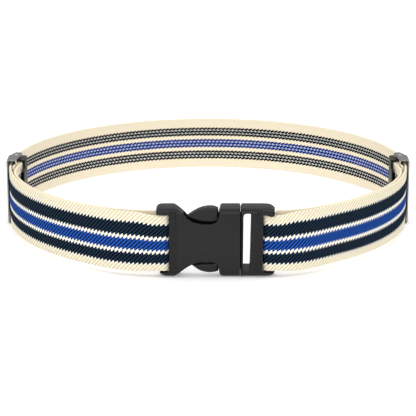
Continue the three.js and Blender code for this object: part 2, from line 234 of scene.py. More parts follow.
class Material:
    """A Principled material under construction."""

    def __init__(self, name, roughness=0.5, metallic=0.0, specular=0.5):
        self.material = bpy.data.materials.new(name)
        self.material.use_nodes = True
        self.tree = self.material.node_tree
        self.shader = self.tree.nodes["Principled BSDF"]
        self.shader.inputs["Roughness"].default_value = roughness
        self.shader.inputs["Metallic"].default_value = metallic
        self.shader.inputs["Specular IOR Level"].default_value = specular

    def coordinates(self, kind, scale=1.0):
        """The three coordinates of a texture space, as values."""
        source = self.tree.nodes.new("ShaderNodeTexCoord")
        split = self.tree.nodes.new("ShaderNodeSeparateXYZ")
        self.tree.links.new(source.outputs[kind], split.inputs[0])
        return [Value(self.tree, out) * scale for out in split.outputs]

    def vector(self, *values):
        join = self.tree.nodes.new("ShaderNodeCombineXYZ")
        for slot, item in zip(join.inputs, values):
            feed(self.tree, slot, item)
        return join.outputs[0]

    def noise(self, vector, scale, detail=2.0, roughness=0.5):
        node = self.tree.nodes.new("ShaderNodeTexNoise")
        node.inputs["Scale"].default_value = scale
        node.inputs["Detail"].default_value = detail
        node.inputs["Roughness"].default_value = roughness
        self.tree.links.new(vector, node.inputs["Vector"])
        return Value(self.tree, node.outputs[0])

    def cells(self, vector, scale):
        node = self.tree.nodes.new("ShaderNodeTexVoronoi")
        node.inputs["Scale"].default_value = scale
        self.tree.links.new(vector, node.inputs["Vector"])
        return Value(self.tree, node.outputs["Distance"])

    def mix(self, factor, first, second, blend="MIX"):
        node = self.tree.nodes.new("ShaderNodeMix")
        node.data_type = "RGBA"
        node.blend_type = blend
        for slot, item in ((0, factor), (6, first), (7, second)):
            feed(self.tree, node.inputs[slot], item)
        return node.outputs[2]

    def grey(self, value):
        """A value as a grey colour."""
        join = self.tree.nodes.new("ShaderNodeCombineColor")
        for slot in join.inputs:
            self.tree.links.new(value.socket, slot)
        return join.outputs[0]

    def colour(self, socket):
        self.tree.links.new(socket, self.shader.inputs["Base Color"])

    def roughness(self, value):
        self.tree.links.new(value.socket, self.shader.inputs["Roughness"])

    def bump(self, height, distance, strength=1.0):
        node = self.tree.nodes.new("ShaderNodeBump")
        node.inputs["Distance"].default_value = distance
        node.inputs["Strength"].default_value = strength
        self.tree.links.new(height.socket, node.inputs["Height"])
        self.tree.links.new(node.outputs[0], self.shader.inputs["Normal"])


def linear(red, green, blue):
    """A display colour from 0 to 255 as scene-linear numbers."""

    def one(value):
        value /= 255
        return value / 12.92 if value <= 0.04045 else ((value + 0.055) / 1.055) ** 2.4

    return tuple(one(v) for v in (red, green, blue))


# ---- webbing looks

CREAM = linear(250, 244, 224)
# Painted highlight: the whiter cream on rib crests near the stripes' edges.
CREAM_CREST_HIGHLIGHT = linear(255, 254, 246)
# Painted shade: the cream of the face's rib grooves.
CREAM_GROOVE_SHADE = linear(223, 210, 174)
NAVY = linear(31, 48, 66)
# Painted shade: the navy of the face's rib grooves; the reverse's dark rows also use it as their
# deep navy.
NAVY_DEEP_AND_GROOVE_SHADE = linear(3, 7, 13)
BLUE = linear(39, 89, 180)
# Painted shade: the blue of the face's rib grooves.
BLUE_GROOVE_SHADE = linear(3, 16, 62)
BACK_CREAM = linear(246, 236, 212)
# Partly painted shade: the reverse's darker cream towards its rib grooves, also used for a random
# fibre mottle.
BACK_GROOVE_SHADE_AND_MOTTLE = linear(232, 216, 184)
BACK_WHITE = linear(214, 213, 206)
BACK_PALE_BLUE = linear(178, 188, 214)
BACK_NAVY = linear(26, 38, 50)
BACK_BLUE = linear(44, 84, 168)
BACK_DEEP_BLUE = linear(14, 34, 110)
PALE_NAVY = linear(104, 108, 112)
PALE_BLUE = linear(104, 124, 172)
UV_SCALE = 100

# Edges of the woven stripes, in millimetres above the webbing's middle.
TOP_CREAM_EDGE = 16.8
BOTTOM_CREAM_EDGE = -18.3
THIN_STRIPES = (4.2, -7.75)
THIN_HALF = 1.25
BLUE_MIDDLE = -1.8
TOOTH = 1.15
TOOTH_SLOPE = 2.0


def web_coordinates(look):
    """(along, up) in millimetres on a strap piece."""
    along, up, _ = look.coordinates("UV", UV_SCALE)
    return along, up


def thread_noise(look, along, up):
    """Fine fibres that run along the ribs."""
    across = along - up / RIB_SLOPE
    return look.noise(look.vector(across, up * 0.22, 0), 2.6, 3.0, 0.6)


def finish_webbing(look, woven, shade, height):
    """The fibres' shading, relief and sheen that both faces share."""
    look.colour(look.mix(1.0, woven, look.grey(shade), "MULTIPLY"))
    look.bump(height, 0.0004, 0.8)
    look.shader.inputs["Sheen Weight"].default_value = 0.008
    look.shader.inputs["Sheen Roughness"].default_value = 0.5
    return look.material


def face_look():
    """The twill face: steep ribs whose ends make the stripes' toothed edges."""
    look = Material("webbing_face", roughness=0.95, specular=0.04)
    along, up = web_coordinates(look)
    rib = ((along - up / RIB_SLOPE) / RIB_PITCH).fraction()
    off = ((rib - 0.5) * 2).size()
    dome = (off * off).flipped()
    wobble = look.noise(look.vector(along, up, 0), 0.9, 1.0) - 0.5

    def tooth(edge):
        """How far the light yarn reaches past a stripe's edge at height edge."""
        shifted = along - edge / RIB_SLOPE - (up - edge) / TOOTH_SLOPE
        from_rib = ((shifted / RIB_PITCH).fraction() - 0.5).size()
        return (from_rib * -4 + 1) * TOOTH + wobble * 0.3

    lit = tooth(TOP_CREAM_EDGE) + up - TOP_CREAM_EDGE
    lit = lit.most(tooth(BOTTOM_CREAM_EDGE) - up + BOTTOM_CREAM_EDGE)
    for middle in THIN_STRIPES:
        lit = lit.most(tooth(middle) - (up - middle).size() + THIN_HALF)
    light = lit.ramp(-0.12, 0.12)
    blue = ((up - BLUE_MIDDLE).size() * -1 + 6.0).ramp(-0.1, 0.1)
    split = ((off - 0.1).size() * -1 + 0.1).ramp(0.0, 0.1)
    fibres = thread_noise(look, along, up)
    # Painted shade: tone is 1 on a rib's crest and 0 in its groove, a little lower at the rib's
    # fine split, and darkens the colours towards the grooves.
    tone = off.ramp(0.75, 0.35) * (split * -0.1 + 1)
    centre_stripes = ((up - BLUE_MIDDLE).size() * -1 + 9.2).ramp(0.0, 0.4)
    # Painted highlight: whiter cream on the rib crests near the cream's toothed edges and in the
    # thin stripes beside the blue middle.
    crest_highlight = (lit.ramp(1.6, 0.5) * off.ramp(0.8, 0.4)).most(centre_stripes * off.ramp(1.0, 0.6))
    cream = look.mix(tone, CREAM_GROOVE_SHADE, CREAM)
    cream = look.mix(crest_highlight, cream, CREAM_CREST_HIGHLIGHT)
    navy = look.mix(tone, NAVY_DEEP_AND_GROOVE_SHADE, NAVY)
    royal = look.mix(tone, BLUE_GROOVE_SHADE, BLUE)
    dark = look.mix(blue, navy, royal)
    woven = look.mix(light, dark, cream)
    shade = fibres * 0.5 + 0.74
    height = fibres * 0.5 + (split * -0.25) + dome * 0.4
    return finish_webbing(look, woven, shade, height)


BACK_BANDS = ((11.6, False), (-0.2, True), (-12.0, False))
ROW_SPACING = 3.05
ROW_HALF = 1.0
DASH_PITCH = 3.85
SAW_HEIGHT = 1.3


def back_look():
    """The reverse: three dark rows to a stripe, saw-edged, with pale rows between."""
    look = Material("webbing_reverse", roughness=0.95, specular=0.04)
    along, up = web_coordinates(look)
    fibres = thread_noise(look, along, up)
    fine = look.noise(look.vector(along * 0.6, up * 2.2, 0), 1.7, 3.0, 0.6)
    wobble = look.noise(look.vector(along, up, 3), 0.5, 1.0) - 0.5
    ribs = ((along - up / RIB_SLOPE) / DASH_PITCH * 2).fraction()
    # Painted shade: the reverse's cream is lighter on rib crests and darker towards the grooves,
    # mixed with random fibre mottle; the same dome raises the relief.
    rib_relief_and_shade = ((ribs - 0.5) * 2).size().power(2).flipped()
    woven = look.mix(rib_relief_and_shade * 0.35 + fine * 0.6 + 0.2, BACK_GROOVE_SHADE_AND_MOTTLE, BACK_CREAM)
    relief = rib_relief_and_shade * 0.25
    for middle, is_blue in BACK_BANDS:
        height = up - middle
        index = (height / ROW_SPACING).apply("ROUND").most(-1).least(1)
        saw = (along / DASH_PITCH + index * 0.36 + wobble * 0.35).fraction() - 0.5
        slanted = height - index * ROW_SPACING + saw * SAW_HEIGHT
        dark = (slanted.size() * -1 + ROW_HALF).ramp(-0.12, 0.16)
        blob = (saw.size() * -1 + 0.5).ramp(0.0, 0.22)
        between = (height.size() * -1 + ROW_SPACING).ramp(-0.1, 0.1)
        dash = ((along - up * 0.9) / DASH_PITCH + wobble * 0.3).fraction() - 0.5
        dash = (dash.size() * -1 + 0.5).ramp(0.02, 0.36)
        deep, bright = (BACK_DEEP_BLUE, BACK_BLUE) if is_blue else (NAVY_DEEP_AND_GROOVE_SHADE, BACK_NAVY)
        pale, white = (PALE_BLUE, BACK_PALE_BLUE) if is_blue else (PALE_NAVY, BACK_WHITE)
        pale_row = look.mix(dash, pale, white)
        woven = look.mix(between, woven, pale_row)
        woven = look.mix(dark, woven, look.mix(blob, bright, deep))
        relief = relief + dark * blob * 0.5
    shade = fibres * 0.3 + fine * 0.3 + 0.7
    return finish_webbing(look, woven, shade, relief + fine * 0.5 + fibres * 0.3)


# ---- hard looks

PLASTIC = (0.0075, 0.0077, 0.0078)
PEBBLE_HEIGHT = 0.0005
FEMALE_PEBBLES = (-31.5, -24.6)
MALE_PEBBLES = (35.0, 43.2)
NO_PEBBLES = (900, 901)  # far from the buckle


def plastic_look(name, left, right):
    """Satin black plastic, pebbled where x lies between left and right (mm)."""
    look = Material(name, roughness=0.42, specular=0.28)
    x, y, z = look.coordinates("Object")
    vector = look.vector(x, y, z)
    grain = look.noise(vector, 2600, 2.0)
    patches = look.noise(vector, 60, 3.0)
    pebbles = look.cells(vector, 620)
    middle = (left + right) / 2 * 0.001 + CENTRE[0]
    half = (right - left) / 2 * 0.001
    front = (y * -1 + (CENTRE[1] + (BUCKLE_FRONT + 1.5) * 0.001)).ramp(0, 0.0004)
    zone = ((x - middle).size() * -1 + half).ramp(0, 0.0006) * front
    tone = patches * 0.16 + grain * 0.12 + 0.86
    tone = tone + zone * (pebbles * 1.6 - 1.05)
    look.colour(look.mix(1.0, PLASTIC, look.grey(tone), "MULTIPLY"))
    look.roughness(patches * 0.1 + grain * 0.05 + zone * 0.14 + 0.28)
    height = grain * 0.16 * zone.flipped() + (pebbles * -1 + 1) * zone
    look.bump(height, PEBBLE_HEIGHT, 0.9)
    return look.material


def metal_look(name, tint, roughness, scratch, metallic=1.0):
    """Plated sheet metal with fine brushing along z and a soft mottle."""
    look = Material(name, roughness=roughness, metallic=metallic, specular=0.3)
    x, y, z = look.coordinates("Object")
    brushed = look.noise(look.vector(x * 3, y * 3, z * 0.2), 1500, 3.0, 0.6)
    mottle = look.noise(look.vector(x, y, z), 180, 4.0, 0.6)
    tone = brushed * 0.3 + mottle * 0.5 + 0.6
    look.colour(look.mix(1.0, tint, look.grey(tone), "MULTIPLY"))
    look.roughness(mottle * 0.2 + brushed * 0.1 + (roughness - 0.15))
    look.bump(brushed + mottle * 0.6, scratch, 0.5)
    return look.material


def thread_look():
    """Twisted sewing thread."""
    look = Material("stitch_thread", roughness=0.8, specular=0.3)
    x, y, z = look.coordinates("Object")
    twist = ((z + (x + y) * 0.7) * 1600).fraction()
    # Painted shade: the thread is darker in the grooves between its twisted plies, where the bump
    # is lowest.
    tone = ((twist - 0.5) * 2).size() * 0.35 + 0.65
    look.colour(look.mix(tone, linear(205, 192, 160), linear(246, 240, 222)))
    look.bump(tone, 0.00008, 0.7)
    return look.material


FACE = face_look()
REVERSE = back_look()
FEMALE_PLASTIC = plastic_look("female_plastic", *FEMALE_PEBBLES)
MALE_PLASTIC = plastic_look("male_plastic", *MALE_PEBBLES)
ARM_PLASTIC = plastic_look("arm_plastic", *NO_PEBBLES)
STEEL = metal_look("gunmetal", (0.29, 0.29, 0.292), 0.36, 0.00006)
# Painted shade: the cam lever's near-black tint stands in for gunmetal lying in shade.
SHADED_GUNMETAL = metal_look("gunmetal_painted_shade", (0.02, 0.019, 0.018), 0.42, 0.00006, 0.35)
PIVOT_METAL = metal_look("pivot_nickel", (0.86, 0.86, 0.85), 0.24, 0.00002)
BAR_METAL = metal_look("anchor_steel", (0.42, 0.42, 0.42), 0.34, 0.00003)
THREAD = thread_look()

# ---- meshes


def new_mesh(name, points, groups, looks, indices=None):
    """A smooth-shaded object from row-frame points and arrays of equal-sided faces."""
    mesh = bpy.data.meshes.new(name)
    corners = np.concatenate([g.ravel() for g in groups]).astype(np.int32)
    counts = np.concatenate([np.full(len(g), g.shape[1]) for g in groups])
    mesh.vertices.add(len(points))
    mesh.vertices.foreach_set("co", np.asarray(points, np.float32).ravel())
    mesh.loops.add(len(corners))
    mesh.loops.foreach_set("vertex_index", corners)
    mesh.polygons.add(len(counts))
    starts = np.concatenate([[0], np.cumsum(counts)[:-1]]).astype(np.int32)
    mesh.polygons.foreach_set("loop_start", starts)
    if indices is not None:
        mesh.polygons.foreach_set("material_index", indices.astype(np.int32))
    mesh.polygons.foreach_set("use_smooth", np.ones(len(counts), bool))
    mesh.update(calc_edges=True)
    mesh.validate()
    for look in looks:
        mesh.materials.append(look)
    made = bpy.data.objects.new(name, mesh)
    bpy.context.scene.collection.objects.link(made)
    return made


# ---- webbing paths


def arc(cx, cy, radius, first, last, step=1.0):
    """Points on a circle, angles in degrees."""
    count = max(2, int(abs(last - first) / step) + 1)
    angle = np.linspace(first, last, count) * DEGREE
    return np.stack([cx + radius * np.cos(angle), cy + radius * np.sin(angle)], 1)


def bezier(start, heading, end, end_heading, count=60):
    start, end = np.array(start, float), np.array(end, float)
    reach = np.linalg.norm(end - start) * 0.38
    first = start + np.array(heading) * reach
    second = end - np.array(end_heading) * reach
    t = np.linspace(0, 1, count)[:, None]
    return (
        start * (1 - t) ** 3
        + first * 3 * t * (1 - t) ** 2
        + second * 3 * t**2 * (1 - t)
        + end * t**3
    )


def spline(points, count=12):
    """A Catmull-Rom curve through the points."""
    points = np.array(points, float)
    padded = np.vstack([2 * points[0] - points[1], points, 2 * points[-1] - points[-2]])
    t = np.linspace(0, 1, count, endpoint=False)[:, None]
    parts = []
    for a, b, c, d in zip(padded, padded[1:], padded[2:], padded[3:]):
        parts.append(
            0.5
            * (
                2 * b
                + (c - a) * t
                + (2 * a - 5 * b + 4 * c - d) * t**2
                + (3 * b - a - 3 * c + d) * t**3
            )
        )
    return np.vstack([*parts, points[-1:]])


def curved(q, u):
    """q inwards from the webbing's inner face and u along it, on the right side."""
    angle = u / LOOP_RADIUS
    return ((INNER_FACE - q) * math.cos(angle), (INNER_FACE - q) * math.sin(angle))


def front_bend(radius, end_x, layer_y):
    """From the loop's circle to a straight run along x that ends at end_x."""
    angle = -STRAIGHT_START * DEGREE
    start = (radius * math.cos(angle), radius * math.sin(angle))
    heading = (math.sin(angle), -math.cos(angle))
    return bezier(start, heading, (end_x, layer_y), (-1, 0))


def outer_path(bar_x):
    seam = SEAM_U / LOOP_RADIUS / DEGREE
    return np.vstack(
        [
            arc(0, 0, LOOP_RADIUS, seam, -STRAIGHT_START),
            front_bend(LOOP_RADIUS, bar_x + BEND_LEAD, BAR_Y - WRAP_RADIUS),
            arc(bar_x, BAR_Y, WRAP_RADIUS, 270, 90, 4),
            [(bar_x + BAR_LEAD, BAR_Y + WRAP_RADIUS)],
        ]
    )


def inner_path(bar_x):
    radius = INNER_FACE - DOUBLED_Q
    joining = JOINING_U / LOOP_RADIUS / DEGREE
    rise = [curved(2.0, -40), curved(3.0, -31), curved(SEWN_END_Q, SEWN_END_U)]
    return np.vstack(
        [
            front_bend(radius, bar_x + BAR_LEAD, BAR_Y + WRAP_RADIUS)[::-1],
            arc(0, 0, radius, -STRAIGHT_START, joining),
            spline([curved(DOUBLED_Q, JOINING_U), *rise]),
        ]
    )


def sewn_path():
    turn = ANCHOR_RADIUS + BAR_CLEARANCE + HALF_THICK
    inward, outward = ANCHOR[0] + turn, ANCHOR[0] - turn
    leg = spline(
        [
            curved(SEWN_END_Q, SEWN_END_U), curved(5.8, -15.5), curved(7.4, -7.5),
            curved(inward - 0.05, 1), curved(inward, ANCHOR[1]),
        ]
    )
    around = [
        curved(ANCHOR[0] - turn * math.cos(a), ANCHOR[1] + turn * math.sin(a))
        for a in np.arange(170, 10, -10) * DEGREE
    ]
    back = spline(
        [
            curved(outward, ANCHOR[1]), curved(outward + 0.5, 6),
            curved(outward + 1.6, 3.2), curved(5.65, 0), curved(5.65, -2.2),
            curved(4.3, -7), curved(2.6, -12), curved(1.8, -17), curved(1.7, -22),
        ]
    )
    return np.vstack([leg, around, back])


def back_path():
    seam = SEAM_U / LOOP_RADIUS / DEGREE
    return arc(0, 0, LOOP_RADIUS, seam, 180 - seam)


def without_repeats(path):
    keep = np.ones(len(path), bool)
    keep[1:] = np.linalg.norm(np.diff(path, axis=0), axis=1) > 1e-3
    return path[keep]


def path_length(path):
    return np.linalg.norm(np.diff(without_repeats(path), axis=0), axis=1).sum()


# ---- webbing meshes


def rib_profile(phase):
    """Height of a rib from 0 in its groove to 1, with a fine split at its middle."""
    phase = phase % 1
    return 0.8 * np.abs(np.sin(math.pi * phase)) ** 0.5 + 0.2 * np.abs(
        np.sin(2 * math.pi * phase)
    )


def strap_section(row_step):
    """Rows round the webbing's section: (z, offset, face relief, reverse relief)."""
    round_radius = HALF_THICK - 0.15
    flat_half = HALF_WEB - round_radius
    count = int(round(2 * flat_half / row_step)) + 1
    across = np.linspace(-flat_half, flat_half, count)

    def edge(end):
        for angle in end * np.arange(72, -73, -18):
            z = end * (flat_half + round_radius * math.cos(angle * DEGREE))
            offset = round_radius * math.sin(angle * DEGREE)
            lift = abs(math.sin(angle * DEGREE)) ** 2
            yield z, offset, lift * (angle > 0), lift * (angle < 0)

    rows = [(z, round_radius, 1, 0) for z in across]
    rows += edge(1)
    rows += [(z, -round_radius, 0, 1) for z in across[::-1]]
    rows += edge(-1)
    return np.array(rows, float).T


def strap_piece(name, path, first, row_step, crown=None, narrow=None):
    """One length of webbing along a plan path, its face on the right of travel.

    The grid's columns run along the ribs, so the ribs stay crisp on few rows.
    first is how far along the whole strap the piece begins, in millimetres.
    """
    path = without_repeats(path)
    steps = np.linalg.norm(np.diff(path, axis=0), axis=1)
    at = np.concatenate([[0], np.cumsum(steps)])
    length = at[-1]
    z, offset, face, reverse = strap_section(row_step)
    column = RIB_PITCH / RIB_SAMPLES
    reach = HALF_WEB / RIB_SLOPE + 2 * column
    low = -(math.ceil((reach + first % column) / column)) * column - first % column
    base = np.arange(low, length + reach + column, column)
    along = np.clip(base[:, None] + z[None, :] / RIB_SLOPE, 0, length)
    phase = (first + along - z / RIB_SLOPE) / RIB_PITCH
    height = offset + face * FACE_RELIEF * (rib_profile(phase) - 0.5)
    height = height - reverse * BACK_RELIEF * (rib_profile(2 * phase) - 0.5)

    tangent = np.gradient(path, at, axis=0)
    tangent /= np.linalg.norm(tangent, axis=1)[:, None]
    normal = np.stack([tangent[:, 1], -tangent[:, 0]], 1)
    if crown is not None:
        height = height + crown(along, length) * (1 - (z / HALF_WEB) ** 2)
    x = np.interp(along, at, path[:, 0]) + np.interp(along, at, normal[:, 0]) * height
    y = np.interp(along, at, path[:, 1]) + np.interp(along, at, normal[:, 1]) * height
    up = np.broadcast_to(z, along.shape)
    squeezed = up
    if narrow is not None:
        from_bar = np.abs(x) - np.where(x < 0, BAR_X["left"], BAR_X["right"])
        near = np.clip((narrow[0] - from_bar) / (narrow[0] - narrow[1]), 0, 1)
        near = near**2 * (3 - 2 * near)
        squeezed = up * (1 - NARROWING * near) - SAG * near

    columns, rows = along.shape
    index = np.arange(columns * rows).reshape(columns, rows)
    first_kept = np.maximum((along <= 0).sum(0) - 1, 0)
    last_kept = np.minimum(columns - (along >= length).sum(0), columns - 1)
    wanted = np.clip(np.arange(columns)[:, None], first_kept, last_kept)
    merged = index[wanted, np.arange(rows)]
    after = np.roll(merged, -1, axis=1)
    quads = np.stack([merged[:-1], merged[1:], after[1:], after[:-1]], -1).reshape(-1, 4)
    row_of = np.tile(np.arange(rows), columns - 1)
    is_reverse = (reverse > 0) & (np.roll(reverse, -1) > 0)
    same = [quads[:, i] == quads[:, (i + 1) % 4] for i in range(4)]
    whole = ~np.any(same, axis=0)
    quad_rows = row_of[whole]
    triangles, triangle_rows = [], []
    for i in range(4):
        only = same[i] & ~np.any([same[j] for j in range(4) if j != i], axis=0)
        keep = [j for j in range(4) if j != i]
        triangles.append(quads[only][:, keep])
        triangle_rows.append(row_of[only])
    triangles = np.vstack(triangles)
    triangle_rows = np.concatenate(triangle_rows)
    caps = [merged[0][::-1][None], merged[-1][None]]
    groups = [quads[whole], triangles, *caps]
    slots = np.concatenate([is_reverse[quad_rows], is_reverse[triangle_rows], [0, 0]])
    used, compact = np.unique(np.concatenate([g.ravel() for g in groups]), return_inverse=True)
    sizes = np.cumsum([0] + [g.size for g in groups])
    groups = [compact[a:b].reshape(g.shape) for a, b, g in zip(sizes, sizes[1:], groups)]
    points = np.stack([x, y, squeezed], -1).reshape(-1, 3)[used]
    made = new_mesh(name, place(points), groups, (FACE, REVERSE), slots)

    mesh = made.data
    corner = np.zeros(len(mesh.loops), np.int32)
    mesh.loops.foreach_get("vertex_index", corner)
    flat = np.stack([first + along, up], -1).reshape(-1, 2)[used] / UV_SCALE
    mesh.uv_layers.new(name="webbing").data.foreach_set(
        "uv", flat[corner].astype(np.float32).ravel()
    )
    ends = np.zeros(len(points), bool)
    ends[groups[2].ravel()] = True
    ends[groups[3].ravel()] = True
    pairs = np.zeros(len(mesh.edges) * 2, np.int32)
    mesh.edges.foreach_get("vertices", pairs)
    pairs = pairs.reshape(-1, 2)
    sharp = mesh.attributes.new("sharp_edge", "BOOLEAN", "EDGE")
    sharp.data.foreach_set("value", ends[pairs].all(1))
    return made


def mirrored(path):
    return path * np.array([-1, 1])


# ---- moulded solids


def outline_distance(corners, a, b):
    """Signed distance to a closed outline, negative inside, on a grid of (a, b)."""
    corners = np.array(corners, float)
    nearest = np.full(np.broadcast(a, b).shape, np.inf)
    inside = np.zeros(nearest.shape, bool)
    for (x0, y0), (x1, y1) in zip(corners, np.roll(corners, -1, axis=0)):
        dx, dy = x1 - x0, y1 - y0
        t = np.clip(((a - x0) * dx + (b - y0) * dy) / max(dx * dx + dy * dy, 1e-9), 0, 1)
        nearest = np.minimum(nearest, (a - x0 - t * dx) ** 2 + (b - y0 - t * dy) ** 2)
        crosses = (y0 > b) != (y1 > b)
        if y1 != y0:
            inside ^= crosses & (a < (x1 - x0) * (b - y0) / (y1 - y0) + x0)
    return np.sqrt(nearest) * np.where(inside, -1, 1)


def drawn(outline, across, low, high, radius=0.0):
    """An outline's distance field raised between low and high, its edges rounded."""
    side = outline + radius
    end = np.abs(across - (low + high) / 2) - (high - low) / 2 + radius
    outside = np.sqrt(np.maximum(side, 0) ** 2 + np.maximum(end, 0) ** 2)
    return outside + np.minimum(np.maximum(side, end), 0) - radius


def box_field(grid, low, high, radius=0.0):
    away = [
        np.abs(axis - (a + b) / 2) - (b - a) / 2 + radius
        for axis, a, b in zip(grid, low, high)
    ]
    outside = np.sqrt(sum(np.maximum(d, 0) ** 2 for d in away))
    return outside + np.minimum(np.maximum(np.maximum(away[0], away[1]), away[2]), 0) - radius


def joined(first, second, soft=0.0):
    """Union of two fields, with a fillet about as wide as soft."""
    if soft <= 0:
        return np.minimum(first, second)
    mixed = np.clip(0.5 + 0.5 * (second - first) / soft, 0, 1)
    return second * (1 - mixed) + first * mixed - soft * mixed * (1 - mixed)


def common(first, second, soft=0.0):
    """Intersection, with its edges softened."""
    return -joined(-first, -second, soft)


def cut(first, second, soft=0.0):
    """The first with the second taken away."""
    return common(first, -second, soft)


def grid_of(low, high, step):
    """Three broadcastable axes that span a box with room to spare."""
    return [
        np.arange(a - 2 * step, b + 3 * step, step).reshape(
            [-1 if i == axis else 1 for i in range(3)]
        )
        for axis, (a, b) in enumerate(zip(low, high))
    ]


def moulded(name, field, grid, step, look, mirror=False):
    """The surface of a distance field as an object."""
    shape = [axis.size for axis in grid]
    dense = np.ascontiguousarray(np.broadcast_to(field, shape), np.float32)
    volume = openvdb.FloatGrid(3 * step)
    volume.copyFromArray(np.clip(dense, -3 * step, 3 * step))
    points, quads = volume.convertToQuads()
    origin = np.array([axis.ravel()[0] for axis in grid])
    points = points * step + origin
    quads = quads.astype(np.int64)
    a, b, c, d = (points[quads[:, i]] for i in range(4))
    volume_sign = np.einsum("ij,ij->i", a, np.cross(b, c) + np.cross(c, d)).sum()
    if mirror:
        points = points * np.array([-1, 1, 1])
    if (volume_sign < 0) != mirror:
        quads = quads[:, ::-1]
    return new_mesh(name, place(points), [quads], (look,))


def both_ways(half):
    """An outline's upper half and its mirror image below."""
    half = np.array(half, float)
    return np.vstack([half, half[::-1] * np.array([1, -1])])


def buckle_profile():
    front = BUCKLE_FRONT + FRONT_EDGE_RADIUS
    back = BUCKLE_BACK - BACK_EDGE_RADIUS
    return both_ways(
        np.vstack(
            [
                [(BUCKLE_BACK, 0)],
                arc(back, HALF_BUCKLE - BACK_EDGE_RADIUS, BACK_EDGE_RADIUS, 0, 90, 15),
                arc(front, HALF_BUCKLE - FRONT_EDGE_RADIUS, FRONT_EDGE_RADIUS, 90, 180, 7),
            ]
        )
    )


BUCKLE_STEP = 0.4
LIP = 0.9
EAR_RIM_RADIUS = 1.0
RIM_PROUD = 0.9
RIM_DEPTH = 1.4
PAST = 5  # how far a cutting shape reaches past the block
FRONT_CROWN = 0.0022


def crowned(y, z):
    """y moved so that a flat front becomes a slightly barrelled one."""
    share = np.clip((BUCKLE_MID - y) / (BUCKLE_MID - BUCKLE_FRONT), 0, 1)
    return y - FRONT_CROWN * z**2 * share


def buckle_block(grid, outline, plan, left, right):
    """A half's outer block: its front outline, side profile and plan in one."""
    x, y, z = grid
    front = outline_distance(outline, x, z)
    field = drawn(front, y, BUCKLE_FRONT - PAST, BUCKLE_BACK + PAST)
    profile = outline_distance(buckle_profile(), crowned(y, z), z)
    field = common(field, drawn(profile, x, left, right), LIP)
    return common(field, outline_distance(plan, x, y) + 0 * z, LIP)


def ear_rim(grid, outline):
    """The rounded rim on the front of an ear."""
    x, y, z = grid
    low, high = BUCKLE_FRONT - RIM_PROUD, BUCKLE_FRONT + RIM_DEPTH
    return drawn(outline_distance(outline, x, z), y, low, high, EAR_RIM_RADIUS)


def with_bar(field, grid, bar_x):
    """The field with the bar that the webbing turns round."""
    x, y, z = grid
    reach = np.sqrt((x - bar_x) ** 2 + (y - BAR_Y) ** 2) + 0 * z
    bar = drawn(reach - BAR_RADIUS, z, -EAR_INNER - 1, EAR_INNER + 1)
    return joined(field, bar, 0.5)


def female_field():
    grid = grid_of(FEMALE_LOW - (0, 1, 0), FEMALE_HIGH, BUCKLE_STEP)
    x, _, z = grid
    scallop = spline(
        [
            (-27.5, HALF_BUCKLE), (-23.5, 26.8), (-19.5, 23.2), (-15, 18.8), (-10, 16.3),
            (-4, 15.2), (2, 15.4), (6.2, 16.8),
        ]
    )
    low_scallop = spline(
        [
            (-27.5, HALF_BUCKLE), (-23.5, 26.2), (-18.8, 22.2), (-14.3, 19.4), (-10, 17.4),
            (-4, 16.1), (2, 16.0), (6.2, 17.2),
        ]
    )
    shoulder = [
        (7.6, 18.6), (8.5, 21.5), (9.3, 26.2), (10.0, 28.2), (11.4, HALF_BUCKLE),
        (FEMALE_HIGH[0], HALF_BUCKLE),
    ]
    upper = [
        (FEMALE_BODY_LEFT, EAR_INNER), (FEMALE_LOW[0], EAR_INNER),
        (FEMALE_LOW[0] + 0.4, 26.6), (-40.6, 28.2), (-38.6, 29.3), (-35.8, HALF_BUCKLE),
        *scallop, *shoulder,
    ]
    lower = [
        (FEMALE_BODY_LEFT, EAR_INNER), (-39.4, EAR_INNER), (-38.6, 26.4), (-36.6, 28.4),
        (-34.6, 29.3), (-32.4, HALF_BUCKLE), *low_scallop, *shoulder,
    ]
    outline = np.array(upper + [(a, -b) for a, b in reversed(lower)])
    plan = [
        (FEMALE_HIGH[0] + 5, BUCKLE_FRONT - 3), (-38.4, BUCKLE_FRONT - 3),
        (-38.4, BUCKLE_FRONT), (-40.4, BUCKLE_FRONT + 1.2), (-41.6, BUCKLE_FRONT + 3),
        (FEMALE_LOW[0], BUCKLE_FRONT + 5.5), (FEMALE_LOW[0], BUCKLE_BACK + 3),
        (FEMALE_HIGH[0] + 5, BUCKLE_BACK + 3),
    ]
    field = buckle_block(grid, outline, plan, FEMALE_LOW[0] - PAST, FEMALE_HIGH[0])
    socket = box_field(
        grid,
        (SOCKET_LEFT, BUCKLE_MID - SOCKET_DEPTH / 2, -SOCKET_HALF_HEIGHT),
        (FEMALE_HIGH[0] + 8, BUCKLE_MID + SOCKET_DEPTH / 2, SOCKET_HALF_HEIGHT),
        0.8,
    )
    field = cut(field, socket, 0.4)
    lip = box_field(
        grid, (-31.5, BUCKLE_FRONT + 0.3, -26), (-26, BUCKLE_FRONT + 1.9, 26), 0.6
    )
    lip = np.maximum(lip, FEMALE_BODY_LEFT - 1.0 - 0.014 * (z + 25) - x)
    field = joined(field, lip, 0.5)
    rim = [
        (-29.5, 23.8), (-40.6, 23.6), (-41.6, 24.2), (-41.6, 27.2), (-29.5, 27.2),
    ]
    field = joined(field, ear_rim(grid, rim), 1.2)
    return with_bar(field, grid, -BAR_X["left"]), grid


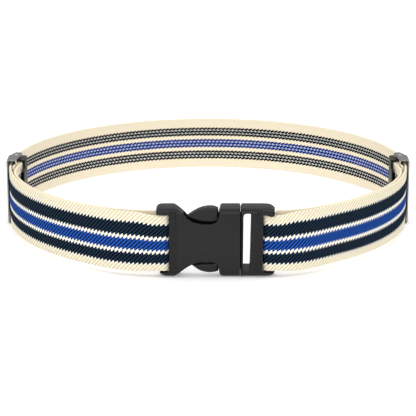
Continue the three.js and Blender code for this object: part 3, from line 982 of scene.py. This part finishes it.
def male_field():
    grid = grid_of(MALE_LOW - (0, 1, 0), MALE_HIGH, BUCKLE_STEP)
    x, y, z = grid
    flange = FEMALE_HIGH[0] + 0.6
    ear_end = spline(
        [
            (45.5, HALF_BUCKLE), (49.8, HALF_BUCKLE - 0.8), (52.8, HALF_BUCKLE - 2.5),
            (54.4, EAR_INNER),
        ],
        6,
    )
    outline = both_ways([(flange, HALF_BUCKLE), *ear_end, (MIDDLE_BAR_RIGHT, EAR_INNER)])
    plan = [
        (flange - 5, BUCKLE_FRONT - 3), (49.4, BUCKLE_FRONT - 3), (49.4, BUCKLE_FRONT),
        (52.2, BUCKLE_FRONT + 1.6), (53.8, BUCKLE_FRONT + 4),
        (MALE_HIGH[0], BUCKLE_FRONT + 7), (MALE_HIGH[0], BUCKLE_BACK + 3),
        (flange - 5, BUCKLE_BACK + 3),
    ]
    field = buckle_block(grid, outline, plan, flange, MALE_HIGH[0] + PAST)
    slot = [
        (28.3, -SLOT_HALF_HEIGHT), (33.7, -SLOT_HALF_HEIGHT),
        (34.6, SLOT_HALF_HEIGHT - 0.6), (34.2, SLOT_HALF_HEIGHT), (30.6, SLOT_HALF_HEIGHT),
        (29.2, SLOT_HALF_HEIGHT - 0.6), (28.6, SLOT_HALF_HEIGHT - 2),
    ]
    opening = outline_distance(slot, x, z)
    opening = drawn(opening, y, BUCKLE_FRONT - PAST, BUCKLE_BACK + PAST)
    slot_floor = -SLOT_HALF_HEIGHT + 0.14 * (y - BUCKLE_FRONT)
    opening = np.maximum(opening, slot_floor - z)
    field = cut(field, opening, 0.7)
    depth = SOCKET_DEPTH / 2 - PLUG_CLEARANCE
    height = SOCKET_HALF_HEIGHT - PLUG_CLEARANCE
    plug = box_field(
        grid, (23.9, BUCKLE_MID - depth, -height), (flange + 1, BUCKLE_MID + depth, height), 0.8
    )
    core = box_field(
        grid,
        (PLUG_LEFT, BUCKLE_MID - depth, -ARM_ROOM / 2),
        (flange, BUCKLE_MID + depth, ARM_ROOM / 2),
        1.2,
    )
    tongue = box_field(
        grid, (MALE_LOW[0], BUCKLE_MID - 2.5, -3.4), (PLUG_LEFT + 1, BUCKLE_MID + 2.5, 3.4), 1.4
    )
    insert = joined(joined(plug, core, 1.0), tongue, 1.5)
    field = joined(field, insert, 0.4)
    lip = box_field(
        grid, (40, BUCKLE_FRONT + 0.3, -26), (44.5, BUCKLE_FRONT + 1.9, 26), 0.6
    )
    lip = np.maximum(lip, x - MIDDLE_BAR_RIGHT - 0.3 - 0.014 * (z + 25))
    field = joined(field, lip, 0.5)
    rim = [
        (43.2, 24.8), (47, 23.2), (50.4, 21.9), (53.4, 22.2), (54.0, 26.2), (52, 27.6),
        (43.2, 27.6),
    ]
    field = joined(field, ear_rim(grid, rim), 1.6)
    backing = box_field(
        grid,
        (FEMALE_HIGH[0] + 0.12, BUCKLE_FRONT + 2, 1.2 - HALF_BUCKLE),
        (flange + 1.5, BUCKLE_BACK - 1.5, HALF_BUCKLE - 1.4),
        0.2,
    )
    field = joined(field, backing)
    return with_bar(field, grid, BAR_X["right"]), grid


def arm_field(sign):
    low, high = local_box("upper_arm" if sign > 0 else "lower_arm")
    grid = grid_of(low - (0, 0, 1.5), high + (0, 0, 1.5), BUCKLE_STEP)
    x, y, z = grid
    if sign > 0:
        head = spline([(8.4, 27.2), (5, 28.6), (0, 28.8), (-6, 27.5), (-12, 24.4), (-16.6, 21.2)])
        inside = [(-15.4, 20.0), (-10.8, 18.2), (-5.3, 16.6), (2.8, 15.8)]
    else:
        head = spline([(8.4, 24.8), (5, 25.7), (0, 26.0), (-6, 24.6), (-10, 22.2), (-13.6, 19.4)])
        inside = [(-12.4, 19.2), (-8, 18.4), (-4, 18.1), (3.4, 18.0)]
    outline = [
        (23.2, 13.8), (23.2, 18.2), (22.2, 19.4), (12, 19.6), (8.6, 20.4), *head, *inside,
        (7, 16.6), (14, 14.6),
    ]
    outline = np.array(outline) * np.array([1, sign])
    front, back = BUCKLE_MID - ARM_DEPTH / 2, BUCKLE_MID + ARM_DEPTH / 2
    return drawn(outline_distance(outline, x, z), y, front, back, 2.2), grid


# ---- sliders

METAL_STEP = 0.25


def slider_outline(points):
    """(q, u) pairs as plan points on the right-hand side."""
    return np.array([(INNER_FACE - q, u) for q, u in points])


def rounded(corners, radius, steps=4):
    corners = np.array(corners, float)
    out = []
    for before, corner, after in zip(np.roll(corners, 1, 0), corners, np.roll(corners, -1, 0)):
        back, ahead = before - corner, after - corner
        room = min(radius, 0.45 * np.linalg.norm(back), 0.45 * np.linalg.norm(ahead))
        start = corner + back / np.linalg.norm(back) * room
        end = corner + ahead / np.linalg.norm(ahead) * room
        for t in np.linspace(0, 1, steps + 1):
            out.append(start * (1 - t) ** 2 + corner * 2 * t * (1 - t) + end * t**2)
    return np.array(out)


EAR_OUTLINE = (
    (PLATE_Q - SHEET, -13.5), (3, -15), (5.0, -11.5), (7.6, 12.0), (5.6, 15.0), (1.2, 16.0),
    (PLATE_Q - SHEET, 3),
)
PLATE_ROLL = (-3.4, -12.9, 0.95)
PLATE_OUTLINE = (
    (PLATE_Q, -13), (PLATE_Q, 5), (PLATE_Q - SHEET, 5), (PLATE_Q - SHEET, -13),
)
LUG_OUTLINE = (
    (0.5, -1.4), (2.4, -2.6), (FINGER_Q, -5), (FINGER_Q + SHEET, -5),
    (FINGER_Q + SHEET, 12), (8, 14), (2.4, 9.2), (0.5, 7.5),
)


def pillar(grid, q, u, radius):
    """Distance to an upright cylinder that stands at (q, u)."""
    x, y, z = grid
    return np.sqrt((x - INNER_FACE + q) ** 2 + (y - u) ** 2) - radius + 0 * z


def frame_field():
    grid = grid_of(FRAME_LOW, FRAME_HIGH + (1, 0, 0), METAL_STEP)
    x, y, z = grid
    ear = outline_distance(rounded(slider_outline(EAR_OUTLINE), 4, 6), x, y)
    plate = outline_distance(slider_outline(PLATE_OUTLINE), x, y)
    field = drawn(plate, z, -EAR_Z - SHEET, EAR_Z + SHEET, 0.3)
    roll = drawn(pillar(grid, *PLATE_ROLL), z, -EAR_Z, EAR_Z, 0.3)
    field = joined(field, roll, 0.3)
    for end in (-1, 1):
        low, high = sorted((end * EAR_Z, end * (EAR_Z + SHEET)))
        field = joined(field, drawn(ear, z, low, high, 0.35), 0.6)
    return cut(field, pillar(grid, *PIVOT, PIVOT_HOLE), 0.2), grid


def lever_field():
    low, high = local_box("right_cam_lever")
    grid = grid_of(low, high, METAL_STEP)
    x, y, z = grid
    top = LUG_Z + SHEET
    lug = outline_distance(rounded(slider_outline(LUG_OUTLINE), 1.6, 3), x, y)
    plain = np.full(np.broadcast(x, y, z).shape, 1e3)
    for end in (-1, 1):
        a, b = sorted((end * LUG_Z, end * top))
        plain = joined(plain, drawn(lug, z, a, b, 0.3))

    def flat_part(q0, q1, u0, u1, half, radius=0.3):
        return box_field(
            grid, (INNER_FACE - q1, u0, -half), (INNER_FACE - q0, u1, half), radius
        )

    field = joined(plain, flat_part(FINGER_Q, FINGER_Q + SHEET, -4.5, 11, LUG_Z + 0.6), 0.6)
    tab = [(-13, -1), (-4, -1), (-4, 1), (-13, 1)]
    tab = rounded(np.array(tab) * (1, TAB_HALF_HEIGHT), 3, 5)
    tab_plate = drawn(
        outline_distance(tab, y, z), x, INNER_FACE - FINGER_Q - SHEET, INNER_FACE - FINGER_Q, 0.3
    )
    field = joined(field, tab_plate, 0.5)
    field = joined(field, flat_part(0.55, 1.9, -1.2, 0.8, LUG_Z + 0.4), 0.4)
    pitch = 2 * HALF_WEB / TOOTH_COUNT
    for i in range(TOOTH_COUNT):
        middle = -HALF_WEB + pitch * (i + 0.5)
        shape = slider_outline([(0.2, -0.2), (0.9, -0.9), (0.9, 0.5)])
        tooth = drawn(outline_distance(shape, x, y), z, middle - 1.3, middle + 1.3, 0.05)
        field = joined(field, tooth, 0.1)
    reach = math.hypot(ANCHOR[0] - PIVOT[0], ANCHOR[1] - PIVOT[1])
    closed = math.atan2(ANCHOR[1] - PIVOT[1], ANCHOR[0] - PIVOT[0])
    for turn in np.linspace(0, LEVER_OPENING, 8) * DEGREE:
        q = PIVOT[0] + reach * math.cos(closed - turn)
        u = PIVOT[1] + reach * math.sin(closed - turn)
        field = cut(field, pillar(grid, q, u, ANCHOR_RADIUS + 0.5))
    return cut(field, pillar(grid, *PIVOT, PIVOT_HOLE)), grid


def ring_faces(index):
    """Quads between successive rings of point numbers."""
    after = np.roll(index, -1, axis=1)
    return np.stack([index[:-1], after[:-1], after[1:], index[1:]], -1).reshape(-1, 4)


def turned(name, profile, x, y, look, end=1, sides=32):
    """A round piece from (radius, z) pairs about an upright axis."""
    profile = np.array(profile, float)
    angle = np.arange(sides) * 2 * math.pi / sides
    rings = [
        np.stack([x + r * np.cos(angle), y + r * np.sin(angle), np.full(sides, end * z)], 1)
        for r, z in profile
    ]
    points = np.vstack(rings)
    index = np.arange(len(points)).reshape(len(profile), sides)
    quads = ring_faces(index)
    caps = [index[0][::-1][None], index[-1][None]]
    if end < 0:
        quads = quads[:, ::-1]
        caps = [c[:, ::-1] for c in caps]
    return new_mesh(name, place(points), [quads, *caps], (look,))


def stitch_row(name, side, q, u, look):
    """A row of lock stitches across the webbing, standing a little proud of it."""
    count, gap, radius = 14, 0.9, 0.32
    pitch = 2 * (HALF_WEB - 2.2) / count
    length = pitch - gap
    rings, sides = 9, 8
    points, quads, caps = [], [], []
    outward = np.array([-math.cos(u / LOOP_RADIUS), -math.sin(u / LOOP_RADIUS)])
    along = np.array([-outward[1], outward[0]])
    middle = np.array(curved(q, u))
    for i in range(count):
        z0 = -HALF_WEB + 2.2 + pitch * i + gap / 2
        start = i * rings * sides
        for k in range(rings):
            t = k / (rings - 1)
            lift = math.sin(math.pi * t) ** 0.6 * 0.35 - 0.15
            size = radius * (0.45 + 0.55 * math.sin(math.pi * t) ** 0.5)
            for m in range(sides):
                a = 2 * math.pi * m / sides
                xy = middle + outward * (lift + size * math.cos(a)) + along * size * math.sin(a)
                points.append((side * xy[0], xy[1], z0 + length * t))
        index = start + np.arange(rings * sides).reshape(rings, sides)
        faces = ring_faces(index)
        quads.append(faces if side < 0 else faces[:, ::-1])
        caps += [index[0], index[-1][::-1]] if side > 0 else [index[0][::-1], index[-1]]
    return new_mesh(name, place(points), [np.vstack(quads), np.array(caps)], (look,))


# ---- build: webbing

SLOT_WEB, SLOT_PLASTIC, SLOT_STEEL, SLOT_PIVOT = (
    "webbing",
    "buckle_plastic",
    "slider_metal",
    "pivot_metal",
)
CROWN_HEIGHT, CROWN_AT, CROWN_SPREAD = 0.5, 45, 40


def near_end(at_start):
    """A gentle crown that grows towards one end of a piece, in millimetres."""

    def crown(along, length):
        away = along if at_start else length - along
        return CROWN_HEIGHT * np.exp(-(((away - CROWN_AT) / CROWN_SPREAD) ** 2))

    return crown


def finish_piece(piece, slot, body, *nodes):
    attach(piece, body)
    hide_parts(*nodes)


right = {
    "sewn_end": sewn_path()[::-1],
    "inner": inner_path(BAR_X["right"])[::-1],
    "outer": outer_path(BAR_X["right"])[::-1],
}
left = {
    "outer": mirrored(outer_path(BAR_X["left"])),
    "inner": mirrored(inner_path(BAR_X["left"])),
    "sewn_end": mirrored(sewn_path()),
}
ROW_STEPS = {"sewn_end": 1.0, "inner": 1.6, "outer": 1.1}

travelled = 0.0
strap = {}


def lay(name, path, row_step, crown=None, narrow=None):
    global travelled
    piece = strap_piece(name, path, travelled, row_step, crown, narrow)
    travelled += path_length(path)
    strap[name] = piece
    return piece


def flat_size(path):
    return (2 * HALF_WEB * 0.001, float(path_length(path)) * 0.001)


for part, path in right.items():
    crown = near_end(True) if part == "outer" else None
    lay(f"right_{part}_strap", path, ROW_STEPS[part], crown, NARROW_SPAN.get(part))
lay("back_strap", back_path(), 2.2)
for part, path in left.items():
    crown = near_end(False) if part == "outer" else None
    lay(f"left_{part}_strap", path, ROW_STEPS[part], crown, NARROW_SPAN.get(part))

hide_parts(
    "left_back_webbing", "middle_back_webbing", "right_back_webbing"
)
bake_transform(strap["back_strap"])
flat_size(back_path())

for side, sign in (("left", -1), ("right", 1)):
    half = f"{side}_half"
    slider = f"{side}_slider"
    outer, inner, sewn = (strap[f"{side}_{p}_strap"] for p in ("outer", "inner", "sewn_end"))
    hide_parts(f"{side}_outer_webbing")
    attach(outer, half)
    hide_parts(f"{side}_inner_webbing")
    bar_end = place((sign * (BAR_X[side] + BAR_LEAD), BAR_Y + WRAP_RADIUS, 0))
    slider_end = curved(SEWN_END_Q, SEWN_END_U)
    slider_end = place((sign * slider_end[0], slider_end[1], 0))
    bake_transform(inner)
    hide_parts(f"{side}_sewn_end")
    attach(sewn, slider)
    paths = left if side == "left" else right
    flat_size(paths["outer"])
    flat_size(paths["inner"])
    for number, (q, u) in enumerate(((7.35, -13.5), (6.15, -18.5))):
        row = stitch_row(f"{side}_stitches_{number + 1}", sign, q, u, THREAD)
        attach(row, slider)
    flat_size(paths["sewn_end"])

# ---- build: buckle

field, grid = female_field()
female = moulded("socket_half", field, grid, BUCKLE_STEP, FEMALE_PLASTIC)
finish_piece(female, SLOT_PLASTIC, "left_half", "female_body")

field, grid = male_field()
male = moulded("plug_half", field, grid, BUCKLE_STEP, MALE_PLASTIC)
finish_piece(male, SLOT_PLASTIC, "right_half", "male_body")

for sign, name in ((1, "upper_arm"), (-1, "lower_arm")):
    field, grid = arm_field(sign)
    arm = moulded(f"{name}_button", field, grid, BUCKLE_STEP, ARM_PLASTIC)
    finish_piece(arm, SLOT_PLASTIC, name, name)

# ---- build: sliders

frame_shape = frame_field()
lever_shape = lever_field()
pin_profile = (
    (0.05, LUG_Z - 0.4), (1.0, LUG_Z - 0.4), (1.2, LUG_Z - 0.2), (1.2, EAR_Z + SHEET - 0.3),
    (1.45, EAR_Z + SHEET - 0.12), (1.4, EAR_Z + SHEET + 0.02), (1.1, EAR_Z + SHEET + 0.1),
    (0.6, EAR_Z + SHEET + 0.14), (0.05, EAR_Z + SHEET + 0.15),
)
bar_end = EAR_Z - 0.3
bar_profile = (
    (0.05, -bar_end), (ANCHOR_RADIUS - 0.3, -bar_end), (ANCHOR_RADIUS, -bar_end + 0.3),
    (ANCHOR_RADIUS, bar_end - 0.3), (ANCHOR_RADIUS - 0.3, bar_end), (0.05, bar_end),
)

for side, sign in (("left", -1), ("right", 1)):
    slider = f"{side}_slider"
    cover = moulded(f"{side}_cover", *frame_shape, METAL_STEP, STEEL, mirror=sign < 0)
    finish_piece(cover, SLOT_STEEL, slider, f"{side}_slider_frame")
    lever = moulded(f"{side}_lever_plate", *lever_shape, METAL_STEP, SHADED_GUNMETAL, mirror=sign < 0)
    finish_piece(lever, SLOT_STEEL, f"{side}_lever", f"{side}_cam_lever")
    x, y = sign * (INNER_FACE - PIVOT[0]), PIVOT[1]
    for end, node in ((1, "upper_pivot"), (-1, "lower_pivot")):
        pin = turned(f"{side}_{node}_pin", pin_profile, x, y, PIVOT_METAL, end)
        finish_piece(pin, SLOT_PIVOT, slider, f"{side}_{node}")
    x, y = curved(*ANCHOR)
    rod = turned(f"{side}_anchor_rod", bar_profile, sign * x, y, BAR_METAL)
    finish_piece(rod, SLOT_STEEL, slider, f"{side}_anchor_bar")

# ---- stage

FLOOR_HALF = 3.0
floor_points = [(-FLOOR_HALF, -FLOOR_HALF, 0), (FLOOR_HALF, -FLOOR_HALF, 0)]
floor_points += [(FLOOR_HALF, FLOOR_HALF, 0), (-FLOOR_HALF, FLOOR_HALF, 0)]
floor_look = Material("floor", roughness=0.9, specular=0.0)
floor_look.shader.inputs["Base Color"].default_value = (0.93, 0.93, 0.93, 1)
floor_look.shader.inputs["Emission Color"].default_value = (1, 1, 1, 1)
floor_look.shader.inputs["Emission Strength"].default_value = 0.2
floor = new_mesh("floor", floor_points, [np.array([[0, 1, 2, 3]])], (floor_look.material,))

world = bpy.data.worlds.new("studio")
bpy.context.scene.world = world
world.use_nodes = True
sky = world.node_tree
direction = sky.nodes.new("ShaderNodeTexCoord")
split = sky.nodes.new("ShaderNodeSeparateXYZ")
sky.links.new(direction.outputs["Generated"], split.inputs[0])
height = Value(sky, split.outputs[2])
paths = sky.nodes.new("ShaderNodeLightPath")
seen = Value(sky, paths.outputs["Is Camera Ray"])
glow = height.ramp(0.05, 0.6) * 0.55 + 0.3
glow = glow * seen.flipped() + seen
sky.nodes["Background"].inputs[0].default_value = (1, 1, 1, 1)
sky.links.new(glow.socket, sky.nodes["Background"].inputs[1])


def softbox(name, place_at, aim, width, height, energy):
    lamp = bpy.data.objects.new(name, bpy.data.lights.new(name, "AREA"))
    lamp.data.shape = "RECTANGLE"
    lamp.data.size = width
    lamp.data.size_y = height
    lamp.data.energy = energy
    lamp.location = place_at
    direction = Vector(aim) - Vector(place_at)
    lamp.rotation_euler = direction.to_track_quat("-Z", "Y").to_euler()
    bpy.context.scene.collection.objects.link(lamp)


softbox("front", (-0.3, -2.3, 1.0), (0, 0, 0.03), 2.0, 0.5, 14)
softbox("top", (0.0, 0.0, 1.9), (0, 0, 0), 1.6, 1.6, 17)
bpy.context.scene.view_settings.view_transform = "Standard"
